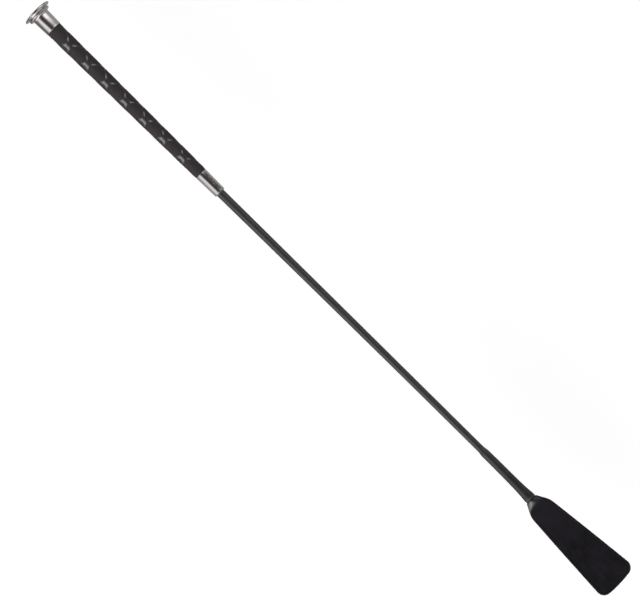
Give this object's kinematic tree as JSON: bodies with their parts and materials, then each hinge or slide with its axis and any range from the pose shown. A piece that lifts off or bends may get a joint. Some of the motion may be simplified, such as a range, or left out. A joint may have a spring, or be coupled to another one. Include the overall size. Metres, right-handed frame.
{
  "type": "riding crop",
  "caption": "Short jumping crop: domed metal cap, rubber grip, metal ferrule, tapered braided shaft and a stitched leather flap that bends.",
  "frame": {"origin": "centre of the small flat at the top of the cap, on the shaft's axis", "axes": "+X runs down the shaft from the cap to the flap, the flap lies in the XY plane and +Z is the flap's upward normal"},
  "size_m": [0.65, 0.0344, 0.025],
  "materials": {
    "nickel_plate": "polished nickel plate",
    "nail_steel": "plain drawn steel",
    "plug_wood": "turned, unfinished",
    "grip_rubber": "moulded, fine matt pads with smooth channels",
    "core_plastic": "plain moulded",
    "rod_fibreglass": "pultruded, semi-gloss",
    "cover_braid": "lacquered thread braid, semi-gloss",
    "binding_thread": "waxed thread",
    "flap_leather": "fine grain, matt",
    "seam_thread": "waxed sewing thread"
  },
  "bodies": {
    "shaft": {"cap_crown": "nickel_plate", "cap_collar": "nickel_plate", "crown_nail": "nail_steel", "cap_plug": "plug_wood", "grip_sleeve": "grip_rubber", "handle_core": "core_plastic", "lower_ferrule": "nickel_plate", "ferrule_bush": "core_plastic", "core_rod": "rod_fibreglass", "braided_cover": "cover_braid", "tang_binding": "binding_thread", "front_leaf_tang": "flap_leather", "back_leaf_tang": "flap_leather"},
    "flap": {"front_leaf_blade": "flap_leather", "back_leaf_blade": "flap_leather", "front_seam_thread": "seam_thread", "back_seam_thread": "seam_thread"}
  },
  "joints": [
    {"name": "flap_bend", "type": "hinge", "parent": "shaft", "child": "flap", "pos_m": [0.56, 0, 0], "axis": [0, 1, 0], "range_deg": [-60, 60], "stiffness_Nm_per_rad": 0.15}
  ]
}
